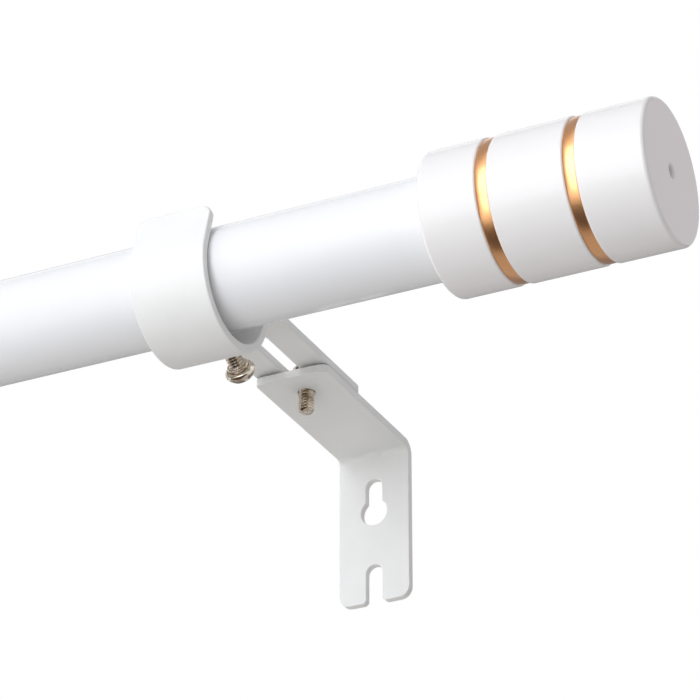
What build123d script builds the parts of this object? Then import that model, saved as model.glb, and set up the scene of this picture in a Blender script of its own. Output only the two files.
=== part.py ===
"""Extendable curtain rod on two adjustable brackets.

Millimetres. X runs along the rod to the near finial, Y runs into the wall, Z is up.
The origin is the centre of the near bracket's keyhole, on the wall plane.
"""

import os
from math import acos, cos, degrees, radians, sin

from build123d import *

# Telescopic tubes
rod_length = 711.0
outer_tube_diameter = 25.4
inner_tube_diameter = 22.2
tube_wall = 0.6
inner_tube_reveal = 94.0
mouth_lip = 3.0
bell_length = 8.0
closed_room = 6.0
running_gap = 0.08

# Bracket strip and cup
strip_width = 20.0
strip_thickness = 2.2
bracket_to_finial = 66.0
projection = 100.0
cup_inner_radius = 14.8
cup_gap = 0.3
lip_angle = 16.0
lip_length = 11.0
lip_corner = 3.0
arm_height = 1.58
arm_bend = 3.0
arm_end = 68.9
arm_corner = 3.0
slot_width = 4.4
slot_start = 28.9
slot_length = 35.0

# Wall bracket
slide_gap = 0.05
wall_arm_length = 51.7
wall_bend = 1.6
gusset_width = 5.0
gusset_leg = 2.0
plate_height = 44.3
plate_corner = 3.0
keyhole_drop = 18.8
keyhole_diameter = 7.4
neck_width = 4.6
neck_top_drop = 9.4
notch_width = 4.6
notch_top_drop = 33.8
notch_corner = 1.2

# Screws
screw_diameter = 4.2
thread_clearance = 0.05
tip_chamfer = 0.6
head_diameter = 7.6
head_height = 3.0
head_rim = 1.4
head_top_diameter = 5.4
recess_length = 4.0
recess_width = 1.0
recess_depth = 1.7
lock_screw_from_wall = 41.3
lock_screw_length = 10.1
set_screw_length = 12.0
set_screw_tilt = 28.0
tip_gap = 0.1

# Finials
finial_length = 56.0
finial_diameter = 35.4
finial_bevel = 0.8
spigot_length = 18.0
spigot_gap = 0.05
spigot_slit = 2.0
spigot_slit_length = 14.0
centre_hole_diameter = 2.8
centre_hole_depth = 5.0
inner_groove_start = 14.7
outer_groove_start = 36.3
groove_width = 2.9
groove_depth = 0.7

# Positions that follow from the sizes
tilt = radians(set_screw_tilt)
outer_bore = outer_tube_diameter - 2 * tube_wall
inner_bore = inner_tube_diameter - 2 * tube_wall
screw_hole = screw_diameter + 2 * thread_clearance
seat_near = cup_inner_radius - outer_tube_diameter / 2 - cup_gap
seat_far = cup_inner_radius - inner_tube_diameter / 2 - cup_gap
rod_y = -projection
rod_z = keyhole_drop + slide_gap - arm_height + seat_near * sin(tilt)
base_near = bracket_to_finial
base_far = base_near - rod_length
bracket_near = 0.0
bracket_far = base_far + bracket_to_finial
mouth = base_far + inner_tube_reveal
guided_end = base_near - spigot_length - closed_room


def strip_profile_plane(centre_x, y, z):
    """Plane for a side view of a strip: local x is Y, local y is Z, extruded along X."""
    return Plane(origin=(centre_x - strip_width / 2, y, z), x_dir=(0, 1, 0), z_dir=(1, 0, 0))


def rod_plane(x, side):
    """Plane across the rod whose normal points outward, to the finial of that side."""
    return Plane(origin=(x, rod_y, rod_z), x_dir=(0, side, 0), z_dir=(side, 0, 0))


def turning_plane(x, side):
    """Plane through the rod axis: local x runs outward along it, local y is the radius."""
    return Plane(origin=(x, rod_y, rod_z), x_dir=(side, 0, 0), z_dir=(0, -side, 0))


def cup_centre(seat):
    """Y and Z of a cup's centre: the set screw pushes the tube off it, forward and up."""
    return rod_y + seat * cos(tilt), rod_z - seat * sin(tilt)


def make_cup_arm(label, centre_x, seat):
    """One bent strip: lip, cup round the tube, reverse bend and slotted arm."""
    cup_y, cup_z = cup_centre(seat)
    profile = strip_profile_plane(centre_x, cup_y, cup_z)
    lip = radians(lip_angle)
    lip_foot = (-cup_inner_radius * cos(lip), cup_inner_radius * sin(lip))
    lip_top = (lip_foot[0] + lip_length * sin(lip), lip_foot[1] + lip_length * cos(lip))
    bend_radius = arm_bend + strip_thickness
    arm_top = arm_height + strip_thickness
    bend_reach = cup_inner_radius + bend_radius
    turn = acos((bend_radius - arm_top) / bend_reach)
    bend_centre = (bend_reach * sin(turn), -bend_reach * cos(turn))
    cup_sweep = 90 + lip_angle + degrees(turn)
    screw_line = Plane(
        origin=(centre_x, cup_y, cup_z),
        x_dir=(1, 0, 0),
        z_dir=(0, cos(tilt), -sin(tilt)),
    )
    arm_plane = Plane(origin=(centre_x, cup_y, cup_z + arm_height), x_dir=(0, 1, 0), z_dir=(0, 0, 1))
    with BuildPart() as arm:
        with BuildSketch(profile):
            with BuildLine():
                Line(lip_top, lip_foot)
                CenterArc((0, 0), cup_inner_radius, 180 - lip_angle, cup_sweep)
                CenterArc(bend_centre, bend_radius, 90 + degrees(turn), -degrees(turn))
                Line((bend_centre[0], arm_top), (arm_end, arm_top))
                offset(amount=strip_thickness, side=Side.RIGHT)
            make_face()
        extrude(amount=strip_width)
        lip_end = arm.faces().sort_by(Axis.Z)[-1]
        fillet(lip_end.edges().sort_by(SortBy.LENGTH)[:2], lip_corner)
        arm_tip = arm.faces().filter_by(Axis.Y).sort_by(Axis.Y)[-1]
        fillet(arm_tip.edges().filter_by(Axis.Z), arm_corner)
        with BuildSketch(arm_plane):
            with Locations((slot_start + slot_length / 2, 0)):
                SlotOverall(slot_length, slot_width)
        extrude(amount=strip_thickness, mode=Mode.SUBTRACT)
        with BuildSketch(screw_line):
            Circle(screw_hole / 2)
        extrude(amount=cup_inner_radius + 2 * strip_thickness, mode=Mode.SUBTRACT)
    arm.part.label = label
    return arm


def make_wall_bracket(label, centre_x, seat):
    """L-shaped strip: arm under the cup arm, pressed gusset, plate with keyhole and notch."""
    arm_top = cup_centre(seat)[1] + arm_height - slide_gap
    profile = strip_profile_plane(centre_x, 0, arm_top)
    outer_bend = wall_bend + strip_thickness
    wall_side = Plane(origin=(centre_x, 0, arm_top), x_dir=(1, 0, 0), z_dir=(0, -1, 0))
    arm_side = Plane(origin=(centre_x, -lock_screw_from_wall, arm_top))
    gusset_side = profile.offset((strip_width - gusset_width) / 2)
    inside = -strip_thickness
    with BuildPart() as bracket:
        with BuildSketch(profile):
            with BuildLine():
                Line((-wall_arm_length, 0), (-outer_bend, 0))
                CenterArc((-outer_bend, -outer_bend), outer_bend, 90, -90)
                Line((0, -outer_bend), (0, -plate_height))
                offset(amount=strip_thickness, side=Side.RIGHT)
            make_face()
        extrude(amount=strip_width)
        arm_tip = bracket.faces().filter_by(Axis.Y).sort_by(Axis.Y)[0]
        fillet(arm_tip.edges().filter_by(Axis.Z), arm_corner)
        plate_foot = bracket.faces().filter_by(Axis.Z).sort_by(Axis.Z)[0]
        fillet(plate_foot.edges().filter_by(Axis.Y), plate_corner)
        with BuildSketch(wall_side):
            with Locations((0, -keyhole_drop)):
                Circle(keyhole_diameter / 2)
            with Locations((0, -neck_top_drop - neck_width / 2)):
                Circle(neck_width / 2)
                Rectangle(neck_width, keyhole_drop - neck_top_drop - neck_width / 2,
                          align=(Align.CENTER, Align.MAX))
            with Locations((0, -notch_top_drop - notch_width / 2)):
                Circle(notch_width / 2)
                Rectangle(notch_width, plate_height - notch_top_drop - notch_width / 2,
                          align=(Align.CENTER, Align.MAX))
        extrude(amount=strip_thickness, mode=Mode.SUBTRACT)
        plate_feet = bracket.faces().filter_by(Axis.Z).group_by(Axis.Z)[0]
        fillet([f.edges().filter_by(Axis.Y).sort_by_distance((centre_x, 0, 0))[0] for f in plate_feet],
               notch_corner)
        with BuildSketch(arm_side):
            Circle(screw_hole / 2)
        extrude(amount=-strip_thickness, mode=Mode.SUBTRACT)
        with BuildSketch(gusset_side):
            with BuildLine():
                Polyline(
                    (inside, inside),
                    (inside - gusset_leg, inside),
                    (inside, inside - gusset_leg),
                    close=True,
                )
            make_face()
        extrude(amount=gusset_width)
    bracket.part.label = label
    return bracket


def make_screw(label, seat_point, outward, length):
    """Pan-head screw: shank runs back from the seat, head stands outward of it."""
    radius = screw_diameter / 2
    axial = Plane(origin=seat_point, x_dir=(1, 0, 0), z_dir=Vector(1, 0, 0).cross(Vector(*outward)))
    head_top = Plane(origin=axial.from_local_coords((0, head_height)), x_dir=(1, 0, 0), z_dir=outward)
    with BuildPart() as screw:
        with BuildSketch(axial):
            with BuildLine():
                Polyline(
                    (0, head_height),
                    (0, -length),
                    (radius - tip_chamfer, -length),
                    (radius, -length + tip_chamfer),
                    (radius, 0),
                    (head_diameter / 2, 0),
                    (head_diameter / 2, head_rim),
                    (head_top_diameter / 2, head_height),
                    close=True,
                )
            make_face()
        revolve(axis=Axis(seat_point, outward))
        with BuildSketch(head_top):
            Rectangle(recess_length, recess_width)
            Rectangle(recess_width, recess_length)
        extrude(amount=-recess_depth, mode=Mode.SUBTRACT)
    screw.part.label = label
    return screw


def make_finial(label, base_x, bore, side):
    """Turned cylinder with two grooves and a slit spigot that is pushed into the tube."""
    radius = finial_diameter / 2
    groove = radius - groove_depth
    spigot = bore / 2 - spigot_gap
    hole = centre_hole_diameter / 2
    with BuildPart() as finial:
        with BuildSketch(turning_plane(base_x, side)):
            with BuildLine():
                Polyline(
                    (-spigot_length, 0),
                    (-spigot_length, spigot),
                    (0, spigot),
                    (0, radius),
                    (inner_groove_start, radius),
                    (inner_groove_start, groove),
                    (inner_groove_start + groove_width, groove),
                    (inner_groove_start + groove_width, radius),
                    (outer_groove_start, radius),
                    (outer_groove_start, groove),
                    (outer_groove_start + groove_width, groove),
                    (outer_groove_start + groove_width, radius),
                    (finial_length - finial_bevel, radius),
                    (finial_length, radius - finial_bevel),
                    (finial_length, hole),
                    (finial_length - centre_hole_depth, hole),
                    (finial_length - centre_hole_depth, 0),
                    close=True,
                )
            make_face()
        revolve(axis=Axis((base_x, rod_y, rod_z), (side, 0, 0)))
        with BuildSketch(rod_plane(base_x - side * spigot_length, side)):
            Rectangle(bore, spigot_slit)
        extrude(amount=spigot_slit_length, mode=Mode.SUBTRACT)
    finial.part.label = label
    return finial


def make_bracket_set(end, centre_x, seat, tube_diameter):
    """The four pieces of one bracket."""
    lock_seat_z = cup_centre(seat)[1] + arm_height + strip_thickness + slide_gap
    away = (0, cos(tilt), -sin(tilt))
    reach = tube_diameter / 2 + tip_gap + set_screw_length
    set_seat = (centre_x, rod_y + reach * away[1], rod_z + reach * away[2])
    return [
        make_wall_bracket(f"wall_bracket_{end}", centre_x, seat),
        make_cup_arm(f"cup_arm_{end}", centre_x, seat),
        make_screw(f"lock_screw_{end}", (centre_x, -lock_screw_from_wall, lock_seat_z), (0, 0, 1),
                   lock_screw_length),
        make_screw(f"set_screw_{end}", set_seat, away, set_screw_length),
    ]


# Outer tube: its mouth is rolled in to guide the inner tube
with BuildPart() as outer_tube:
    with BuildSketch(rod_plane(mouth, 1)):
        Circle(outer_tube_diameter / 2)
        Circle(inner_tube_diameter / 2 + running_gap, mode=Mode.SUBTRACT)
    extrude(amount=mouth_lip)
    with BuildSketch(rod_plane(mouth + mouth_lip, 1)):
        Circle(outer_tube_diameter / 2)
        Circle(outer_bore / 2, mode=Mode.SUBTRACT)
    extrude(amount=base_near - mouth - mouth_lip)
outer_tube.part.label = "outer_tube"

# Inner tube: its hidden end is belled out to run in the outer tube and stop at the lip
with BuildPart() as inner_tube:
    with BuildSketch(rod_plane(base_far, 1)):
        Circle(inner_tube_diameter / 2)
    extrude(amount=guided_end - base_far)
    with BuildSketch(rod_plane(guided_end, 1)):
        Circle(outer_bore / 2 - running_gap)
    extrude(amount=-bell_length)
    with BuildSketch(rod_plane(base_far, 1)):
        Circle(inner_bore / 2)
    extrude(amount=guided_end - base_far, mode=Mode.SUBTRACT)
inner_tube.part.label = "inner_tube"

pieces = [outer_tube, inner_tube]
pieces += make_bracket_set("near", bracket_near, seat_near, outer_tube_diameter)
pieces += make_bracket_set("far", bracket_far, seat_far, inner_tube_diameter)
pieces += [
    make_finial("finial_near", base_near, outer_bore, 1),
    make_finial("finial_far", base_far, inner_bore, -1),
]

os.makedirs("parts", exist_ok=True)
for piece in pieces:
    export_step(piece.part, f"parts/{piece.part.label}.step")
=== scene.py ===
from math import acos, asin, atan2, ceil, cos, degrees, pi, radians, sin, tan

import bmesh
import bpy
from mathutils import Matrix, Vector
from mathutils.geometry import delaunay_2d_cdt


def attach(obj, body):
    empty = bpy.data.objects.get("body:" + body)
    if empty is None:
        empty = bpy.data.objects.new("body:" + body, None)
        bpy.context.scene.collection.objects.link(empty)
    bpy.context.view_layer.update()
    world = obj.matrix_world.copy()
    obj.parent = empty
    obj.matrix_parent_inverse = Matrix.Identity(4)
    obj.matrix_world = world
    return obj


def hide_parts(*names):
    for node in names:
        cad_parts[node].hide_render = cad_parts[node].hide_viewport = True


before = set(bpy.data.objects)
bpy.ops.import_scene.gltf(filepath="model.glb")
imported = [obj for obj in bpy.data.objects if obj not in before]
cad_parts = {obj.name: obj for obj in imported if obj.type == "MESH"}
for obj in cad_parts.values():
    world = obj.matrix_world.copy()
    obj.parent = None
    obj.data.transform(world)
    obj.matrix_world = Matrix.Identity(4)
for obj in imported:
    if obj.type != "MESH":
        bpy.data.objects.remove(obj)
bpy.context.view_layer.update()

# Sizes in millimetres and angles in degrees, in the frame of the solids
millimetre = 0.001

outer_radius = 12.7
inner_radius = 11.1
tube_wall = 0.6
outer_bore = outer_radius - tube_wall
inner_bore = inner_radius - tube_wall
running_gap = 0.08
cut_edge = 0.15
mouth_x = -551.0
mouth_lip = 3.0
mouth_roll = 0.8
mouth_edge = 0.25
bell_x = 42.0
bell_length = 8.0
bell_shoulder = 0.3
bell_edge = 0.2
near_base_x = 66.0
far_base_x = -645.0
rod_y = -100.0
rod_z = 18.115

far_bracket_x = -579.0
strip_width = 20.0
strip_thickness = 2.2
cup_edge = 0.45
wall_edge = 0.28
droop_length = 5.0
end_droop = 0.85
strip_corner = 3.0
cup_inner_radius = 14.8
lip_angle = 16.0
lip_length = 11.0
arm_height = 1.58
arm_bend = 3.0
arm_end = 68.9
slot_start = 28.9
slot_length = 35.0
slot_width = 4.4
near_seat = 1.8
far_seat = 3.4
slide_gap = 0.05
wall_arm_length = 51.7
wall_bend = 1.6
plate_height = 44.3
keyhole_drop = 18.8
keyhole_radius = 3.7
neck_width = 4.6
neck_top_drop = 9.4
notch_width = 4.6
notch_top_drop = 33.8
notch_corner = 1.2
gusset_width = 5.0
gusset_leg = 1.5
gusset_side_leg = 0.9
gusset_waist = 0.45
gusset_round = 1.2
gusset_bed = 0.05
gusset_root = 0.3

screw_hole_radius = 2.15
thread_radius = 2.1
thread_depth = 0.5
thread_pitch = 0.8
thread_fade = 0.4
flank_slope = 1.2
tip_chamfer = 0.6
head_radius = 3.8
head_rim = 1.4
head_height = 3.0
head_top_radius = 2.7
head_round = 0.5
head_rim_round = 0.3
head_flat_inset = 0.3
under_head_round = 0.25
shoulder_rise = 1.4
shoulder_share = 0.93
recess_length = 4.0
recess_width = 1.0
recess_depth = 1.7
recess_taper = 0.72
collar_radius = 2.75
collar_height = 0.9
collar_round = 0.3
collar_neck_height = 0.2
collar_neck_inset = 0.25
flange_round = 0.95
lock_screw_from_wall = 41.3
lock_screw_length = 10.1
set_screw_length = 12.0
set_screw_tilt = 28.0
tip_gap = 0.1

finial_length = 56.0
finial_radius = 17.7
finial_round = 1.0
spigot_gap = 0.05
spigot_length = 18.0
spigot_slit = 2.0
spigot_slit_length = 14.0
prong_ease = 0.8
prong_ease_length = 1.2
groove_starts = (14.7, 36.3)
groove_width = 2.9
groove_depth = 0.7
groove_round = 0.45
band_gap = 0.02
band_seat = 0.005
band_edge = 0.15
band_height = 0.36
crown_power = 2.2
crown_fullness = 0.6
hole_radius = 1.4
hole_depth = 5.0
hole_round = 0.8

# How finely round forms are cut
tube_segments = 160
finial_segments = 192
screw_segments = 56
hole_steps = 48
keyhole_steps = 48
neck_steps = 24
prong_steps = 40
gusset_steps = 24
corner_steps = 5
band_steps = 20
edge_steps = 4
thread_rings = 10
bend_step = 4.0
sharp_angle = 35.0

# Slack allowed in finding a run, filling an outline and cutting a bend
run_tolerance = 1e-9
fill_tolerance = 1e-6
cut_tolerance = 1e-4

# The directions in which the heads of the lock screws and of the set screws point
up = Vector((0, 0, 1))
tilt = radians(set_screw_tilt)
away = Vector((0, cos(tilt), -sin(tilt)))


def cup_centre(seat):
    """Y and Z of a cup's centre, for the distance that the set screw pushes the tube off it."""
    return rod_y + seat * cos(tilt), rod_z - seat * sin(tilt)


# Outlines and meshes


def rounded(corners, closed=False):
    """Points of a polyline whose (a, b, radius) corners are rounded off."""
    points = []
    count = len(corners)
    for i, (a, b, radius) in enumerate(corners):
        here = Vector((a, b))
        at_end = not closed and i in (0, count - 1)
        if radius == 0 or at_end:
            points.append(here)
            continue
        before = (Vector(corners[i - 1][:2]) - here).normalized()
        after = (Vector(corners[(i + 1) % count][:2]) - here).normalized()
        half = before.angle(after) / 2
        middle = here + (before + after).normalized() * (radius / sin(half))
        start = here + before * (radius / tan(half)) - middle
        end = here + after * (radius / tan(half)) - middle
        first = atan2(start.y, start.x)
        sweep = (atan2(end.y, end.x) - first + pi) % (2 * pi) - pi
        for k in range(corner_steps + 1):
            turn = first + sweep * k / corner_steps
            points.append(middle + Vector((cos(turn), sin(turn))) * radius)
    return points


def ellipse(centre_a, half_a, half_b):
    """Points round an ellipse about (centre_a, 0), anticlockwise."""
    turns = [2 * pi * k / hole_steps for k in range(hole_steps)]
    return [Vector((centre_a + half_a * cos(t), half_b * sin(t))) for t in turns]


def arc_points(centre_a, radius, start, sweep, steps):
    """Points along an arc about (centre_a, 0)."""
    turns = [start + sweep * k / steps for k in range(steps + 1)]
    return [Vector((centre_a + radius * cos(t), radius * sin(t))) for t in turns]


def lathe(bm, profile, place, segments, closed=False):
    """Turns (along, radius) points about place's X axis. A radius may be a function of the turn."""
    rows = []
    for along, radius in profile:
        if radius == 0:
            rows.append([bm.verts.new(place @ Vector((along, 0, 0)))])
            continue
        row = []
        for k in range(segments):
            t = 2 * pi * k / segments
            r = radius(t) if callable(radius) else radius
            row.append(bm.verts.new(place @ Vector((along, r * cos(t), r * sin(t)))))
        rows.append(row)
    pairs = list(zip(rows, rows[1:]))
    if closed:
        pairs.append((rows[-1], rows[0]))
    for low, high in pairs:
        for k in range(segments):
            ring = [low[k % len(low)], low[(k + 1) % segments % len(low)]]
            ring += [high[(k + 1) % segments % len(high)], high[k % len(high)]]
            bm.faces.new(list(dict.fromkeys(ring)))
    return rows


def join_rows(bm, rows):
    """Faces between each closed row of vertices and the next."""
    for low, high in zip(rows, rows[1:]):
        for i in range(len(low)):
            j = (i + 1) % len(low)
            bm.faces.new((low[i], low[j], high[j], high[i]))


def inside(point, loop):
    """Whether a point lies inside a closed loop."""
    crossings = 0
    for i, b in enumerate(loop):
        a = loop[i - 1]
        if (a.y > point.y) != (b.y > point.y):
            crossings += point.x < a.x + (b.x - a.x) * (point.y - a.y) / (b.y - a.y)
    return crossings % 2 == 1


def fill(bm, loops):
    """Triangles inside the first loop and outside the others. A loop is a list of (vertex, point)."""
    owners = []
    points = []
    edges = []
    rings = []
    for loop in loops:
        first = len(points)
        rings.append([point for vertex, point in loop])
        owners += [vertex for vertex, point in loop]
        points += rings[-1]
        edges += [(first + i, first + (i + 1) % len(loop)) for i in range(len(loop))]
    places, _, faces, sources, _, _ = delaunay_2d_cdt(points, edges, [], 0, fill_tolerance)
    for face in faces:
        middle = sum((places[i] for i in face), Vector((0, 0))) / len(face)
        if inside(middle, rings[0]) and not any(inside(middle, ring) for ring in rings[1:]):
            bm.faces.new([owners[sources[i][0]] for i in face])


def inward_normals(loop):
    """Mitre directions to the left of a closed loop."""
    normals = []
    for i, point in enumerate(loop):
        before = (point - loop[i - 1]).normalized()
        after = (loop[(i + 1) % len(loop)] - point).normalized()
        a = Vector((-before.y, before.x))
        b = Vector((-after.y, after.x))
        normals.append((a + b) / (1 + a.dot(b)))
    return normals


def rounded_plate(bm, loops, edge):
    """Flat strip with rounded edges: outer loop anticlockwise, holes clockwise."""
    half = strip_thickness / 2
    levels = []
    for k in range(edge_steps + 1):
        turn = pi / 2 * k / edge_steps
        levels.append((edge * (1 - sin(turn)), half - edge * (1 - cos(turn))))
    levels = [(inset, -height) for inset, height in levels] + levels[::-1]
    lower = []
    upper = []
    for loop in loops:
        normals = inward_normals(loop)
        rows = []
        for inset, height in levels:
            points = [p + n * inset for p, n in zip(loop, normals)]
            rows.append([(bm.verts.new((p.x, p.y, height)), p) for p in points])
        join_rows(bm, [[vertex for vertex, point in row] for row in rows])
        lower.append(rows[0])
        upper.append(rows[-1])
    fill(bm, lower)
    fill(bm, upper)


class StripPath:
    """Middle line of a bent strip in Y and Z, made of straight runs and arcs."""

    def __init__(self, start, heading):
        self.runs = []
        self.end = Vector(start)
        self.heading = heading
        self.length = 0.0

    def line(self, length):
        self.runs.append((self.length, self.end.copy(), self.heading, 0.0))
        self.end += Vector((cos(self.heading), sin(self.heading))) * length
        self.length += length

    def arc(self, radius, turn):
        """Turns left for a positive angle and right for a negative one."""
        curve = radius if turn > 0 else -radius
        self.runs.append((self.length, self.end.copy(), self.heading, curve))
        length = radius * abs(turn)
        self.end, _ = self.at(self.length + length)
        self.heading += turn
        self.length += length

    def at(self, s):
        """Point of the middle line at s, and the direction to its left there."""
        begun = [run for run in self.runs if run[0] <= s + run_tolerance or run is self.runs[0]]
        start, point, heading, curve = begun[-1]
        along = s - start
        if curve == 0:
            left = Vector((-sin(heading), cos(heading)))
            return point + Vector((cos(heading), sin(heading))) * along, left
        turned = heading + along / curve
        centre = point + Vector((-sin(heading), cos(heading))) * curve
        left = Vector((-sin(turned), cos(turned)))
        return centre - left * curve, left

    def stations(self):
        """Places along the strip where it has to be cut to follow its arcs."""
        cuts = []
        ends = [run[0] for run in self.runs[1:]] + [self.length]
        for (start, _, _, curve), end in zip(self.runs, ends):
            if curve == 0:
                continue
            steps = ceil(degrees((end - start) / abs(curve)) / bend_step)
            cuts += [start + (end - start) * k / steps for k in range(steps + 1)]
        return cuts


def bent_strip(path, loops, edge):
    """Mesh of a strip with holes, cut along its bends and bent along the path."""
    bm = bmesh.new()
    rounded_plate(bm, loops, edge)
    for s in path.stations():
        geom = bm.verts[:] + bm.edges[:] + bm.faces[:]
        bmesh.ops.bisect_plane(bm, geom=geom, dist=cut_tolerance, plane_co=(s, 0, 0), plane_no=(1, 0, 0))
    for vertex in bm.verts:
        s, x, height = vertex.co
        point, left = path.at(s)
        spot = point + left * height
        vertex.co = (x, spot.x, spot.y)
    return bm


def new_object(name, data):
    """A new object of the scene."""
    item = bpy.data.objects.new(name, data)
    bpy.context.scene.collection.objects.link(item)
    return item


def add_piece(name, bm, body, node, material, shift=(0, 0, 0)):
    """Makes a piece from a mesh in millimetres, sets its shading and ties it to its body."""
    mesh = bpy.data.meshes.new(name)
    bmesh.ops.recalc_face_normals(bm, faces=bm.faces[:])
    bm.to_mesh(mesh)
    mesh.transform(Matrix.Scale(millimetre, 4) @ Matrix.Translation(shift))
    mesh.shade_smooth()
    mesh.set_sharp_from_angle(angle=radians(sharp_angle))
    mesh.materials.append(material)
    piece = new_object(name, mesh)
    weighting = piece.modifiers.new("face_weighted_normals", "WEIGHTED_NORMAL")
    weighting.keep_sharp = True
    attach(piece, body)
    if node:
        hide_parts(node)


# Materials

noise_low = 0.3
noise_high = 0.7
white_specular = 0.22


def new_material(name):
    """A material with one Principled shader. Returns its nodes, links, shader and coordinates."""
    material = bpy.data.materials.new(name)
    material.use_nodes = True
    nodes = material.node_tree.nodes
    shader = nodes["Principled BSDF"]
    coordinates = nodes.new("ShaderNodeTexCoord")
    return material, nodes, material.node_tree.links, shader, coordinates.outputs["Object"]


def add_noise(nodes, links, vector, scale, detail, stretch=None):
    """Noise over the object's own coordinates. Scale is in grains to the metre."""
    noise = nodes.new("ShaderNodeTexNoise")
    noise.inputs["Scale"].default_value = scale
    noise.inputs["Detail"].default_value = detail
    if stretch:
        mapping = nodes.new("ShaderNodeMapping")
        mapping.inputs["Scale"].default_value = stretch
        links.new(vector, mapping.inputs["Vector"])
        vector = mapping.outputs["Vector"]
    links.new(vector, noise.inputs["Vector"])
    return noise.outputs["Fac"]


def add_range(nodes, links, value, low, high):
    """Maps the middle of a noise to a range."""
    ranged = nodes.new("ShaderNodeMapRange")
    ranged.inputs["From Min"].default_value = noise_low
    ranged.inputs["From Max"].default_value = noise_high
    ranged.inputs["To Min"].default_value = low
    ranged.inputs["To Max"].default_value = high
    links.new(value, ranged.inputs["Value"])
    return ranged.outputs["Result"]


def add_tint(nodes, links, value, dark, light):
    """Runs from one colour to another over the middle of a noise."""
    ramp = nodes.new("ShaderNodeValToRGB")
    ramp.color_ramp.elements[0].position = noise_low
    ramp.color_ramp.elements[0].color = (*dark, 1)
    ramp.color_ramp.elements[1].position = noise_high
    ramp.color_ramp.elements[1].color = (*light, 1)
    links.new(value, ramp.inputs["Fac"])
    return ramp.outputs["Color"]


def add_bump(nodes, links, height, strength, distance):
    """Bump from a height, with its depth in metres."""
    bump = nodes.new("ShaderNodeBump")
    bump.inputs["Strength"].default_value = strength
    bump.inputs["Distance"].default_value = distance
    links.new(height, bump.inputs["Height"])
    return bump.outputs["Normal"]


def dress(links, shader, colour, roughness, normal):
    """Feeds a shader its colour, roughness and surface detail."""
    links.new(colour, shader.inputs["Base Color"])
    links.new(roughness, shader.inputs["Roughness"])
    links.new(normal, shader.inputs["Normal"])


def gloss_paint():
    """Baked white enamel on the tubes, with a faint orange peel and slight drift in the gloss."""
    material, nodes, links, shader, place = new_material("gloss_white_paint")
    peel = add_noise(nodes, links, place, scale=420.0, detail=2.0)
    drift = add_noise(nodes, links, place, scale=35.0, detail=3.0)
    colour = add_tint(nodes, links, drift, dark=(0.868, 0.872, 0.893), light=(0.88, 0.883, 0.903))
    roughness = add_range(nodes, links, drift, low=0.13, high=0.17)
    normal = add_bump(nodes, links, peel, strength=0.12, distance=0.00006)
    dress(links, shader, colour, roughness, normal)
    shader.inputs["Specular IOR Level"].default_value = white_specular
    return material


def powder_coat():
    """Satin powder coat on the pressed strips: fine grain, dull gloss, a little warm."""
    material, nodes, links, shader, place = new_material("satin_white_powder_coat")
    grain = add_noise(nodes, links, place, scale=2600.0, detail=3.0)
    cloud = add_noise(nodes, links, place, scale=90.0, detail=4.0)
    colour = add_tint(nodes, links, cloud, dark=(0.85, 0.849, 0.842), light=(0.88, 0.879, 0.872))
    roughness = add_range(nodes, links, grain, low=0.38, high=0.56)
    normal = add_bump(nodes, links, grain, strength=0.3, distance=0.00005)
    dress(links, shader, colour, roughness, normal)
    shader.inputs["Specular IOR Level"].default_value = white_specular
    return material


def finial_lacquer():
    """Glossy white lacquer on the finials, with a faint flow texture."""
    material, nodes, links, shader, place = new_material("gloss_white_lacquer")
    flow = add_noise(nodes, links, place, scale=260.0, detail=2.0)
    cloud = add_noise(nodes, links, place, scale=40.0, detail=3.0)
    colour = add_tint(nodes, links, cloud, dark=(0.874, 0.855, 0.857), light=(0.886, 0.868, 0.869))
    roughness = add_range(nodes, links, cloud, low=0.12, high=0.16)
    normal = add_bump(nodes, links, flow, strength=0.1, distance=0.00006)
    dress(links, shader, colour, roughness, normal)
    shader.inputs["Specular IOR Level"].default_value = white_specular
    return material


def brushed_gold():
    """Gold trim with fine lines round the band and slightly uneven tone."""
    material, nodes, links, shader, place = new_material("brushed_gold")
    lines = add_noise(nodes, links, place, scale=1.0, detail=3.0, stretch=(9000.0, 120.0, 120.0))
    tone = add_noise(nodes, links, place, scale=160.0, detail=3.0)
    colour = add_tint(nodes, links, tone, dark=(0.78, 0.38, 0.15), light=(0.86, 0.47, 0.22))
    roughness = add_range(nodes, links, lines, low=0.28, high=0.34)
    normal = add_bump(nodes, links, lines, strength=0.12, distance=0.00003)
    dress(links, shader, colour, roughness, normal)
    shader.inputs["Metallic"].default_value = 1.0
    shader.inputs["Coat Weight"].default_value = 0.8
    shader.inputs["Coat Roughness"].default_value = 0.26
    return material


def nickel():
    """Nickel plating on the screws, warm, with turning marks, darkened in random patches by painted
    shade that stands in for dark reflections.
    """
    material, nodes, links, shader, place = new_material("nickel_plate")
    painted_shade_patches = add_noise(nodes, links, place, scale=520.0, detail=4.0)
    marks = add_noise(nodes, links, place, scale=5200.0, detail=2.0)
    # The dark end of this tint is painted shade, standing in for the dark reflections on the screws.
    colour = add_tint(nodes, links, painted_shade_patches, dark=(0.36, 0.28, 0.2), light=(0.82, 0.76, 0.67))
    roughness = add_range(nodes, links, marks, low=0.07, high=0.15)
    normal = add_bump(nodes, links, marks, strength=0.15, distance=0.00002)
    dress(links, shader, colour, roughness, normal)
    shader.inputs["Metallic"].default_value = 1.0
    return material


# Pieces


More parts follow.
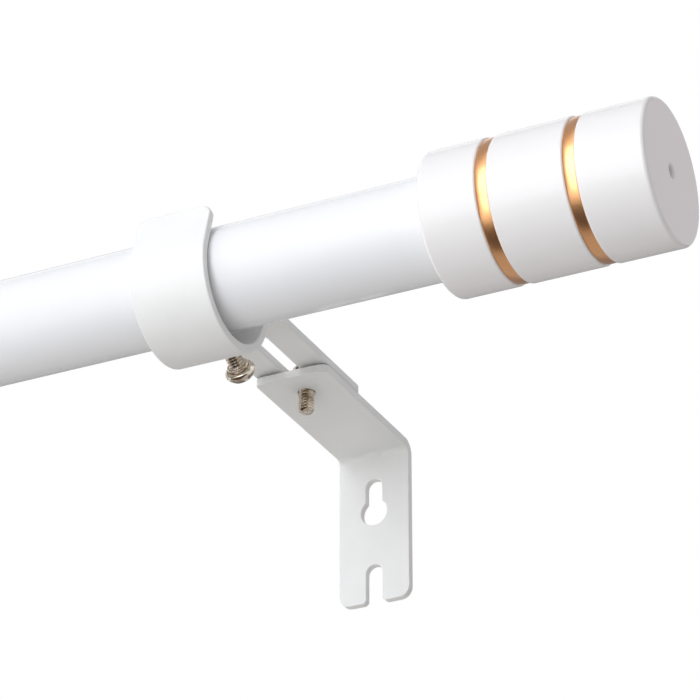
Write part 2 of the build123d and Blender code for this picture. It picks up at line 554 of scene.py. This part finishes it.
def add_tubes(paint):
    """The outer tube with its rolled mouth, and the inner tube with its belled end."""
    axis = Matrix.Translation((0, rod_y, rod_z))
    guide = inner_radius + running_gap
    bell = outer_bore - running_gap
    outer = bmesh.new()
    outer_profile = rounded([
        (mouth_x, guide, mouth_edge),
        (mouth_x, outer_radius, mouth_roll),
        (near_base_x, outer_radius, cut_edge),
        (near_base_x, outer_bore, cut_edge),
        (mouth_x + mouth_lip, outer_bore, 0),
        (mouth_x + mouth_lip, guide, mouth_edge),
    ], closed=True)
    lathe(outer, outer_profile, axis, tube_segments, closed=True)
    add_piece("outer_tube_painted", outer, "outer_rod", "outer_tube", paint)
    inner = bmesh.new()
    inner_profile = rounded([
        (far_base_x, inner_bore, cut_edge),
        (far_base_x, inner_radius, cut_edge),
        (bell_x - bell_length, inner_radius, 0),
        (bell_x - bell_length, bell, bell_shoulder),
        (bell_x, bell, bell_edge),
        (bell_x, inner_bore, cut_edge),
    ], closed=True)
    lathe(inner, inner_profile, axis, tube_segments, closed=True)
    add_piece("inner_tube_painted", inner, "inner_rod", "inner_tube", paint)


def add_prong(bm, place, spigot, half):
    """One half of the slit spigot, a D-shaped bar with an eased tip."""
    flat = spigot_slit / 2
    start = acos(flat / spigot)
    arc = [start * (1 - 2 * k / prong_steps) for k in range(prong_steps + 1)]
    tip = -spigot_length
    rows = []
    for along, r in (
        (tip, spigot - prong_ease),
        (tip + prong_ease_length, spigot),
        (tip + spigot_slit_length, spigot),
    ):
        ring = [(sin(t) * r, max(flat, cos(t) * r)) for t in arc]
        rows.append([bm.verts.new(place @ Vector((along, y, half * z))) for y, z in ring])
    join_rows(bm, rows)
    bm.faces.new(rows[0])
    bm.faces.new(rows[-1])


def band_section(start, floor):
    """(along, radius) points of a crowned gold band in a groove."""
    low = start + band_gap
    high = start + groove_width - band_gap
    half = (high - low) / 2
    section = [Vector((low, floor + band_seat))]
    for k in range(band_steps + 1):
        across = -1 + 2 * k / band_steps
        crown = (1 - abs(across) ** crown_power) ** crown_fullness
        rise = band_edge + (band_height - band_edge) * crown
        section.append(Vector((low + half * (1 + across), floor + rise)))
    section.append(Vector((high, floor + band_seat)))
    return section


def add_finial(end, base_x, side, tube_bore, lacquer, gold):
    """Turned finial with rounded rims, two grooves, a centre hole and the slit spigot."""
    place = Matrix.Translation((base_x, rod_y, rod_z)) @ Matrix.Diagonal((side, 1, 1, 1))
    spigot = tube_bore - spigot_gap
    floor = finial_radius - groove_depth
    root = spigot_slit_length - spigot_length
    corners = [(root, 0, 0), (root, spigot, 0), (0, spigot, 0), (0, finial_radius, finial_round)]
    for start in groove_starts:
        corners += [
            (start, finial_radius, groove_round),
            (start, floor, 0),
            (start + groove_width, floor, 0),
            (start + groove_width, finial_radius, groove_round),
        ]
    corners += [
        (finial_length, finial_radius, finial_round),
        (finial_length, hole_radius, hole_round),
        (finial_length - hole_depth, hole_radius, 0),
        (finial_length - hole_depth, 0, 0),
    ]
    bm = bmesh.new()
    lathe(bm, rounded(corners), place, finial_segments)
    add_prong(bm, place, spigot, 1)
    add_prong(bm, place, spigot, -1)
    body = f"finial_{end}"
    add_piece(f"finial_{end}_lacquered", bm, body, body, lacquer)
    for name, start in zip(("inner", "outer"), groove_starts):
        band = bmesh.new()
        lathe(band, band_section(start, floor), place, finial_segments, closed=True)
        add_piece(f"gold_band_{name}_{end}", band, body, None, gold)


def cup_arm_mesh():
    """Bent strip with lip, cup, reverse bend and slotted arm, about the cup's centre."""
    lip = radians(lip_angle)
    middle = strip_thickness / 2
    bend_radius = arm_bend + strip_thickness
    reach = cup_inner_radius + bend_radius
    turn = acos((bend_radius - arm_height - strip_thickness) / reach)
    left = Vector((cos(lip), -sin(lip)))
    foot = Vector((-cup_inner_radius * cos(lip), cup_inner_radius * sin(lip)))
    top = foot + Vector((sin(lip), cos(lip))) * lip_length
    path = StripPath(top - left * middle, -pi / 2 - lip)
    path.line(lip_length)
    path.arc(cup_inner_radius + middle, pi / 2 + lip + turn)
    path.arc(bend_radius - middle, -turn)
    arm_foot = reach * sin(turn)
    arm_start = path.length
    path.line(arm_end - arm_foot)
    half = strip_width / 2
    outline = rounded([
        (0, -half, strip_corner),
        (path.length, -half, strip_corner),
        (path.length, half, strip_corner),
        (0, half, strip_corner),
    ], closed=True)
    slot_low = arm_start + slot_start - arm_foot
    slot_high = slot_low + slot_length
    slot_half = slot_width / 2
    slot = rounded([
        (slot_low, -slot_half, slot_half),
        (slot_high, -slot_half, slot_half),
        (slot_high, slot_half, slot_half),
        (slot_low, slot_half, slot_half),
    ], closed=True)
    hole_s = lip_length + (cup_inner_radius + middle) * (pi + lip - tilt)
    stretch = (cup_inner_radius + middle) / cup_inner_radius
    hole = ellipse(hole_s, screw_hole_radius * stretch, screw_hole_radius)
    return bent_strip(path, [outline, slot[::-1], hole[::-1]], cup_edge)


def wall_bracket_mesh():
    """L-shaped strip with keyhole, notch and screw hole, about its outer corner."""
    middle = strip_thickness / 2
    outer_bend = wall_bend + strip_thickness
    path = StripPath((-wall_arm_length, -middle), 0.0)
    path.line(wall_arm_length - outer_bend)
    path.arc(outer_bend - middle, -pi / 2)
    plate_start = path.length - outer_bend
    path.line(plate_height - outer_bend)
    half = strip_width / 2
    foot = path.length
    notch_half = notch_width / 2
    notch_top = plate_start + notch_top_drop
    outline = rounded([
        (0, -half, strip_corner),
        (foot, -half, strip_corner),
        (foot, -notch_half, notch_corner),
        (notch_top, -notch_half, notch_half),
        (notch_top, notch_half, notch_half),
        (foot, notch_half, notch_corner),
        (foot, half, strip_corner),
        (0, half, strip_corner),
    ], closed=True)
    key_s = plate_start + keyhole_drop
    neck_half = neck_width / 2
    neck_s = plate_start + neck_top_drop + neck_half
    opening = asin(neck_half / keyhole_radius)
    keyhole = arc_points(key_s, keyhole_radius, pi + opening, 2 * pi - 2 * opening, keyhole_steps)
    keyhole += arc_points(neck_s, neck_half, pi / 2, pi, neck_steps)
    screw_s = wall_arm_length - lock_screw_from_wall
    screw_hole = ellipse(screw_s, screw_hole_radius, screw_hole_radius)
    bm = bent_strip(path, [outline, keyhole[::-1], screw_hole[::-1]], wall_edge)
    droop_end(bm)
    add_gusset(bm)
    return bm


def droop_end(bm):
    """Lowers the wall arm's cropped end a little, away from the arm that slides on it."""
    for vertex in bm.verts:
        along = vertex.co.y + wall_arm_length
        if along < droop_length:
            vertex.co.z -= end_droop * (1 - along / droop_length) ** 2


def add_gusset(bm):
    """Stiffening dart pressed into the bend: a low wedge that is lower at its sides."""
    skin = -strip_thickness
    bed = skin + gusset_bed
    root = skin + gusset_root
    rows = []
    for k in range(gusset_steps + 1):
        across = -1 + 2 * k / gusset_steps
        leg = gusset_side_leg + (gusset_leg - gusset_side_leg) * (1 - across ** 2) ** 0.5
        waist = skin - leg * gusset_waist
        section = rounded([(skin - leg, bed, 0), (waist, waist, gusset_round), (bed, skin - leg, 0)])
        section.append(Vector((root, root)))
        rows.append([bm.verts.new((across * gusset_width / 2, p.x, p.y)) for p in section])
    join_rows(bm, rows)
    bm.faces.new(rows[0])
    bm.faces.new(rows[-1])


def thread_profile(length, runout):
    """(along, radius) points up a cut thread, from an eased point to where it runs out."""
    steps = ceil((length - runout) / thread_pitch * thread_rings)
    profile = [(-length, 0)]
    for k in range(steps + 1):
        along = -length + (length - runout) * k / steps
        depth = thread_depth * min(1.0, -(along + runout) / thread_fade)
        skin = thread_radius - max(0.0, tip_chamfer - length - along)

        def radius(turn, along=along, depth=depth, skin=skin):
            phase = (along / thread_pitch - turn / (2 * pi)) % 1.0
            flank = min(1.0, flank_slope * abs(2 * phase - 1))
            return min(skin, thread_radius - depth * flank)

        profile.append((along, radius))
    return profile


def head_profile(flat, collar):
    """(along, radius, rounding) corners of a pan head, with the collar below it if there is one."""
    head = [
        (0, head_radius, flange_round if collar else under_head_round),
        (head_rim, head_radius, head_rim_round),
        (head_rim * shoulder_rise, head_radius * shoulder_share, head_round),
        (head_height, head_top_radius, head_round),
        (head_height, flat, 0),
    ]
    if not collar:
        return [(0, thread_radius, 0)] + head
    collar_neck = collar_radius - collar_neck_inset
    return [
        (-collar_height, thread_radius, 0),
        (-collar_height, collar_radius, collar_round),
        (-collar_neck_height, collar_radius, collar_neck_height),
        (-collar_neck_height, collar_neck, 0),
        (0, collar_neck, 0),
    ] + head


def cross_outline():
    """Corners of the cross recess, anticlockwise."""
    a = recess_length / 2
    b = recess_width / 2
    arm = [(a, -b), (a, b), (b, b)]
    cross = []
    for k in range(4):
        quarter = Matrix.Rotation(pi / 2 * k, 2)
        cross += [quarter @ Vector(corner) for corner in arm]
    return cross


def add_screw(name, seat, outward, length, collar, metal):
    """Pan-head screw with a cut thread, an eased point, a cross recess and, on a set screw, a collar."""
    turn = up.rotation_difference(outward).to_matrix().to_4x4()
    place = Matrix.Translation(seat) @ turn @ Matrix.Rotation(-pi / 2, 4, "Y")
    flat = head_top_radius - head_flat_inset
    profile = thread_profile(length, collar_height if collar else 0.0)
    profile += [(p.x, p.y) for p in rounded(head_profile(flat, collar))[1:]]
    bm = bmesh.new()
    rows = lathe(bm, profile, place, screw_segments)
    turns = [2 * pi * k / screw_segments for k in range(screw_segments)]
    rim = [(v, Vector((cos(t), sin(t))) * flat) for v, t in zip(rows[-1], turns)]
    cross = cross_outline()
    mouth = [(bm.verts.new(place @ Vector((head_height, c.x, c.y))), c) for c in cross]
    fill(bm, [rim, mouth])
    floor_height = head_height - recess_depth
    floor_points = [Vector((floor_height, c.x * recess_taper, c.y * recess_taper)) for c in cross]
    floor = [bm.verts.new(place @ point) for point in floor_points]
    join_rows(bm, [[vertex for vertex, point in mouth], floor])
    bm.faces.new(floor)
    add_piece(f"{name}_threaded", bm, name, name, metal)


def add_bracket(end, centre_x, seat, tube_radius, rod_body, cup_mesh, wall_mesh, coat, metal):
    """The four pieces of one bracket."""
    cup_y, cup_z = cup_centre(seat)
    arm_under = cup_z + arm_height
    cup_arm = f"cup_arm_{end}"
    cup_shift = (centre_x, cup_y, cup_z)
    add_piece(f"{cup_arm}_coated", cup_mesh.copy(), rod_body, cup_arm, coat, cup_shift)
    wall = f"wall_bracket_{end}"
    wall_shift = (centre_x, 0, arm_under - slide_gap)
    add_piece(f"{wall}_coated", wall_mesh.copy(), wall, wall, coat, wall_shift)
    lock_seat = Vector((centre_x, -lock_screw_from_wall, arm_under + strip_thickness + slide_gap))
    add_screw(f"lock_screw_{end}", lock_seat, up, lock_screw_length, False, metal)
    reach = tube_radius + tip_gap + set_screw_length
    set_seat = Vector((centre_x, rod_y, rod_z)) + away * reach
    add_screw(f"set_screw_{end}", set_seat, away, set_screw_length, True, metal)


# Stage, with lengths in metres and the lens in millimetres

camera_target = Vector((0.04089, -0.100, -0.00877))
camera_back = Vector((0.38755, -0.79318, -0.46978))
camera_distance = 0.81326
camera_lens = 180.5
camera_sensor = 36.0
camera_near_clip = 0.01
lamp_aim = Vector((0, -0.1, 0))
cool = (0.95, 0.975, 1.0)
warm = (1.0, 0.95, 0.89)
ambient = 0.51
ambient_tint = (0.975, 0.975, 1.0)
floor_z = -0.62
floor_width = 8.0
floor_colour = (0.69, 0.68, 0.655)
floor_glow = 0.42

# Name, place, width, height, power and tint of each lamp
lamps = (
    ("softbox", (-0.66, -2.55, 0.63), 1.2, 1.8, 28.8, cool),
    ("left_fill", (-3.0, -1.9, 0.6), 2.0, 2.0, 21.0, cool),
    ("front_fill", (-0.4, -1.7, -0.3), 1.0, 0.5, 4.8, cool),
    ("overhead", (-0.2, -0.8, 1.4), 2.0, 1.0, 1.5, cool),
    ("low_back_fill", (-0.2, 0.42, -0.58), 1.6, 0.6, 1.7, warm),
)

# Name, place, aim, width, height and tone of each card
cards = (
    ("highlight_card", (0.03, -1.28, 0.21), (0.03, -0.1, 0), 1.0, 1.6, (3.9, 3.9, 3.9)),
    ("left_card", (-1.9, -1.5, 0.3), (0, -0.1, 0), 1.2, 2.4, (0.12, 0.1, 0.1)),
    ("overhead_card", (-0.1, 0.05, 1.4), (0, -0.1, 0), 3.0, 1.2, (0.45, 0.42, 0.42)),
    ("lower_card", (-0.1, -0.332, -0.498), (-0.1, -0.1, 0), 2.4, 0.47, (0.08, 0.06, 0.06)),
    ("ground_card", (-0.3, 0.36, -0.61), (-0.3, 0.36, 0), 3.0, 1.27, (0.55, 0.52, 0.5)),
    ("back_low_card", (-0.5, 1.0, -0.12), (-0.5, -0.1, -0.12), 2.2, 0.9, (0.27, 0.26, 0.26)),
    ("back_card", (-0.75, 1.0, 0.62), (0, -0.1, 0), 1.1, 0.8, (0.3, 0.3, 0.31)),
    ("side_card", (0.6, 0.88, 0.6), (0.12, -0.1, 0), 0.5, 0.5, (1.1, 0.95, 1.0)),
)


def add_camera():
    """Long lens from below and in front, at the photograph's angle."""
    data = bpy.data.cameras.new("camera")
    data.lens = camera_lens
    data.sensor_width = camera_sensor
    data.clip_start = camera_near_clip
    camera = new_object("camera", data)
    camera.location = camera_target + camera_back * camera_distance
    camera.rotation_euler = camera_back.to_track_quat("Z", "Y").to_euler()
    bpy.context.scene.camera = camera


def add_lamp(name, place, width, height, power, tint):
    """Soft rectangular lamp, aimed at the rod and left out of reflections."""
    data = bpy.data.lights.new(name, "AREA")
    data.shape = "RECTANGLE"
    data.size = width
    data.size_y = height
    data.energy = power
    data.color = tint
    lamp = new_object(name, data)
    lamp.location = place
    lamp.rotation_euler = (Vector(place) - lamp_aim).to_track_quat("Z", "Y").to_euler()
    lamp.visible_glossy = False


def rectangle(name, width, height, z=0.0):
    """Flat rectangular mesh at a height, with its middle on the Z axis."""
    a = width / 2
    b = height / 2
    mesh = bpy.data.meshes.new(name)
    mesh.from_pydata([(-a, -b, z), (a, -b, z), (a, b, z), (-a, b, z)], [], [(0, 1, 2, 3)])
    return mesh


def add_card(name, place, aim, width, height, tone):
    """Card that only reflections see: a bright one gives a highlight, and a grey one a dark side."""
    mesh = rectangle(name, width, height)
    material = bpy.data.materials.new(name)
    material.use_nodes = True
    nodes = material.node_tree.nodes
    nodes.clear()
    glow = nodes.new("ShaderNodeEmission")
    glow.inputs["Color"].default_value = (*tone, 1)
    output = nodes.new("ShaderNodeOutputMaterial")
    material.node_tree.links.new(glow.outputs["Emission"], output.inputs["Surface"])
    mesh.materials.append(material)
    card = new_object(name, mesh)
    card.location = place
    card.rotation_euler = (Vector(aim) - Vector(place)).to_track_quat("Z", "Y").to_euler()
    card.visible_camera = False
    card.visible_diffuse = False
    card.visible_transmission = False
    card.visible_shadow = False


def add_seen(nodes, links):
    """1 for the rays that show a surface to the camera, straight, in a reflection or through glass."""
    path = nodes.new("ShaderNodeLightPath")
    seen = path.outputs["Is Camera Ray"]
    for ray in ("Is Glossy Ray", "Is Transmission Ray"):
        either = nodes.new("ShaderNodeMath")
        either.operation = "MAXIMUM"
        links.new(seen, either.inputs[0])
        links.new(path.outputs[ray], either.inputs[1])
        seen = either.outputs["Value"]
    return seen


def add_world():
    """White behind the object and in its reflections, and a softer white as ambient light."""
    world = bpy.data.worlds.new("studio")
    bpy.context.scene.world = world
    world.use_nodes = True
    nodes = world.node_tree.nodes
    links = world.node_tree.links
    nodes.clear()
    soft = nodes.new("ShaderNodeBackground")
    soft.inputs["Color"].default_value = (*ambient_tint, 1)
    soft.inputs["Strength"].default_value = ambient
    white = nodes.new("ShaderNodeBackground")
    white.inputs["Color"].default_value = (1, 1, 1, 1)
    white.inputs["Strength"].default_value = 1.0
    mix = nodes.new("ShaderNodeMixShader")
    output = nodes.new("ShaderNodeOutputWorld")
    links.new(add_seen(nodes, links), mix.inputs["Fac"])
    links.new(soft.outputs["Background"], mix.inputs[1])
    links.new(white.outputs["Background"], mix.inputs[2])
    links.new(mix.outputs["Shader"], output.inputs["Surface"])


def add_floor():
    """Pale floor below the rod. It is clear from underneath, so that low views see past it."""
    mesh = rectangle("floor", floor_width, floor_width, floor_z)
    material = bpy.data.materials.new("pale_floor")
    material.use_nodes = True
    nodes = material.node_tree.nodes
    links = material.node_tree.links
    nodes.clear()
    matt = nodes.new("ShaderNodeBsdfDiffuse")
    matt.inputs["Color"].default_value = (*floor_colour, 1)
    glow = nodes.new("ShaderNodeEmission")
    level = nodes.new("ShaderNodeMath")
    level.operation = "MULTIPLY"
    level.inputs[1].default_value = floor_glow
    links.new(add_seen(nodes, links), level.inputs[0])
    links.new(level.outputs["Value"], glow.inputs["Strength"])
    both = nodes.new("ShaderNodeAddShader")
    links.new(matt.outputs["BSDF"], both.inputs[0])
    links.new(glow.outputs["Emission"], both.inputs[1])
    clear = nodes.new("ShaderNodeBsdfTransparent")
    geometry = nodes.new("ShaderNodeNewGeometry")
    mix = nodes.new("ShaderNodeMixShader")
    output = nodes.new("ShaderNodeOutputMaterial")
    links.new(geometry.outputs["Backfacing"], mix.inputs["Fac"])
    links.new(both.outputs["Shader"], mix.inputs[1])
    links.new(clear.outputs["BSDF"], mix.inputs[2])
    links.new(mix.outputs["Shader"], output.inputs["Surface"])
    mesh.materials.append(material)
    floor = new_object("floor", mesh)


paint = gloss_paint()
coat = powder_coat()
lacquer = finial_lacquer()
gold = brushed_gold()
metal = nickel()
cup_mesh = cup_arm_mesh()
wall_mesh = wall_bracket_mesh()
add_tubes(paint)
add_finial("near", near_base_x, 1, outer_bore, lacquer, gold)
add_finial("far", far_base_x, -1, inner_bore, lacquer, gold)
add_bracket("near", 0.0, near_seat, outer_radius, "outer_rod", cup_mesh, wall_mesh, coat, metal)
add_bracket("far", far_bracket_x, far_seat, inner_radius, "inner_rod", cup_mesh, wall_mesh, coat, metal)

add_camera()
for lamp in lamps:
    add_lamp(*lamp)
for card in cards:
    add_card(*card)
add_world()
add_floor()
bpy.context.scene.view_settings.view_transform = "Standard"
